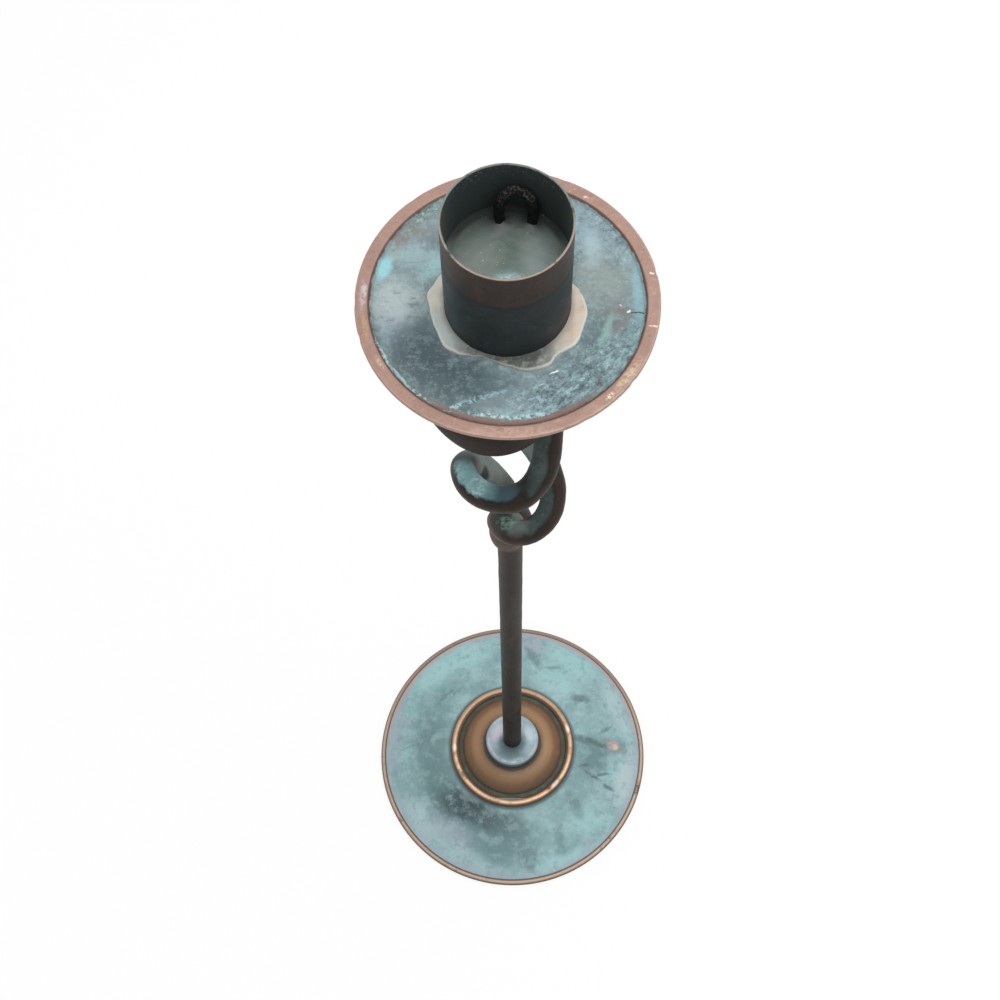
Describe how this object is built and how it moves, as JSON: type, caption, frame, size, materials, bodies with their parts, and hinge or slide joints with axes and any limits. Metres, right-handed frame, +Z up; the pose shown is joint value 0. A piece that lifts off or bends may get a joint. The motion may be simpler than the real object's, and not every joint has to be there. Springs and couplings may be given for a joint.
{
  "type": "candle holder",
  "caption": "Tall single candle holder: domed foot, slim stem, open twisted spiral, rounded bowl, round drip pan and thin candle cup with a wax stub and burnt wick.",
  "frame": {"origin": "middle of the resting plane under the foot dish", "axes": "+Z up along the stem, -Y towards the front where both strands cross over the stem, +X to the right seen from the front"},
  "size_m": [0.095, 0.095, 0.3547],
  "materials": {
    "patina_sheet": "copper sheet with blue-green patina",
    "worn_copper": "satin copper, brown in the grooves",
    "dark_rod": "dark brown-grey tarnish",
    "patina_rod": "green patina above, dark brown below",
    "dark_bowl": "dark brown tarnish",
    "dark_cup": "green-black tarnish",
    "brass_fastener": "plain brass",
    "charred_wick": "burnt cotton",
    "old_wax": "grey-green old wax",
    "spilt_wax": "cream wax"
  },
  "bodies": {
    "root": {"base_dish": "patina_sheet", "boss_ring": "worn_copper", "stem_seat": "patina_sheet", "stem": "dark_rod", "tail_washer": "brass_fastener", "tail_nut": "brass_fastener", "spiral_strand_a": "patina_rod", "spiral_strand_b": "patina_rod", "support_bowl": "dark_bowl", "drip_pan": "patina_sheet", "candle_cup": "dark_cup", "cup_screw": "brass_fastener", "cup_washer": "brass_fastener", "cup_nut": "brass_fastener", "wick": "charred_wick", "wax_stub": "old_wax", "wax_spill": "spilt_wax"}
  },
  "joints": []
}
